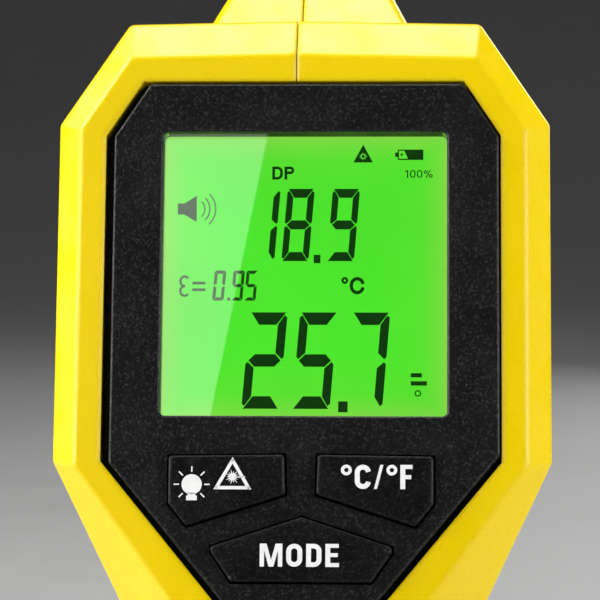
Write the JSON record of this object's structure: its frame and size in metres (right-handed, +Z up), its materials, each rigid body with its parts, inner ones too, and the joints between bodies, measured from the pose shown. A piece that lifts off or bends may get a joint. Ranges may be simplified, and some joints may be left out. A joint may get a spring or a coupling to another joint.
{
  "type": "infrared thermometer",
  "caption": "Pistol-grip infrared thermometer: faceted yellow clamshell body, black display panel with lit screen and keys, trigger, laser ports and battery grip.",
  "frame": {"origin": "mouth of the tripod thread, in the flat base of the grip", "axes": "+Y forwards along the sighting axis, +Z up, +X to the right as seen by the user behind the display"},
  "size_m": [0.0542, 0.1154, 0.1528],
  "materials": {
    "yellow_shell": "fine textured moulding, satin",
    "black_panel": "fine grained",
    "window_pane": "clear, polished",
    "lcd_glass": "polished",
    "backlight": "glowing light guide",
    "key_rubber": "matt",
    "nose_black": "fine grained",
    "trigger_black": "satin",
    "pad_rubber": "matt, grooved",
    "brass": "machined",
    "screw_steel": "zinc plated",
    "spring_steel": "drawn wire",
    "lens_material": "milky, polished",
    "tube_aluminium": "black anodised",
    "can_metal": "plated",
    "board_green": "solder mask",
    "chip_black": "moulded",
    "frame_white": "moulded",
    "carrier_black": "moulded",
    "zebra_rubber": "layered",
    "battery_case": "printed jacket",
    "laser_brass": "turned",
    "button_red": "moulded"
  },
  "bodies": {
    "housing": {"casing_left": "yellow_shell", "casing_right": "yellow_shell", "display_bezel": "black_panel", "display_window": "window_pane", "lcd_glass": "lcd_glass", "lcd_backlight": "backlight", "nose_cap": "nose_black", "vent_cover": "nose_black", "grip_pad_left": "pad_rubber", "grip_pad_right": "pad_rubber", "tripod_bush": "brass", "casing_screws": "screw_steel", "board_screws": "screw_steel", "door_hinge_pin": "screw_steel", "trigger_pin": "screw_steel", "trigger_spring": "spring_steel", "ir_lens": "lens_material", "optic_tube": "tube_aluminium", "lens_ring": "tube_aluminium", "thermopile": "can_metal", "main_board": "board_green", "sensor_board": "board_green", "humidity_sensor": "board_green", "board_chips": "chip_black", "buzzer": "chip_black", "tact_switch_left": "chip_black", "tact_switch_right": "chip_black", "tact_switch_mode": "chip_black", "trigger_switch": "chip_black", "battery_snap": "chip_black", "lcd_frame": "frame_white", "optics_carrier_front": "carrier_black", "optics_carrier_rear": "carrier_black", "battery_tray": "carrier_black", "switch_bracket": "carrier_black", "zebra_strip": "zebra_rubber", "battery": "battery_case", "laser_module_upper": "laser_brass", "laser_module_lower": "laser_brass", "laser_window_upper": "window_pane", "laser_window_lower": "window_pane"},
    "finger_trigger": {"trigger": "trigger_black"},
    "switch_button": {"switch_plunger": "button_red"},
    "door_leaf": {"battery_door": "yellow_shell"},
    "left_key": {"key_left": "key_rubber"},
    "right_key": {"key_right": "key_rubber"},
    "mode_key": {"key_mode": "key_rubber"}
  },
  "joints": [
    {"name": "trigger_pull", "type": "hinge", "parent": "housing", "child": "finger_trigger", "pos_m": [0, 0.045, 0.1056], "axis": [-1, 0, 0], "range_deg": [0, 7], "stiffness_Nm_per_rad": 0.3, "springref_deg": -11.46, "deforming": ["trigger_spring"]},
    {"name": "plunger_press", "type": "slide", "parent": "housing", "child": "switch_button", "axis": [0, -1, 0], "range_m": [0, 0.00095]},
    {"name": "door_swing", "type": "hinge", "parent": "housing", "child": "door_leaf", "pos_m": [0, 0.02166, 0.00467], "axis": [-1, 0, 0], "range_deg": [0, 70]},
    {"name": "key_left_press", "type": "slide", "parent": "housing", "child": "left_key", "axis": [0, 0.9659, -0.2588], "range_m": [0, 0.0005], "stiffness_N_per_m": 800, "springref_m": -0.0006},
    {"name": "key_right_press", "type": "slide", "parent": "housing", "child": "right_key", "axis": [0, 0.9659, -0.2588], "range_m": [0, 0.0005], "stiffness_N_per_m": 800, "springref_m": -0.0006},
    {"name": "key_mode_press", "type": "slide", "parent": "housing", "child": "mode_key", "axis": [0, 0.9659, -0.2588], "range_m": [0, 0.0005], "stiffness_N_per_m": 800, "springref_m": -0.0006}
  ],
  "couplings": [
    {"joint": "plunger_press", "follows": "trigger_pull", "m_per_rad": 0.0076}
  ]
}
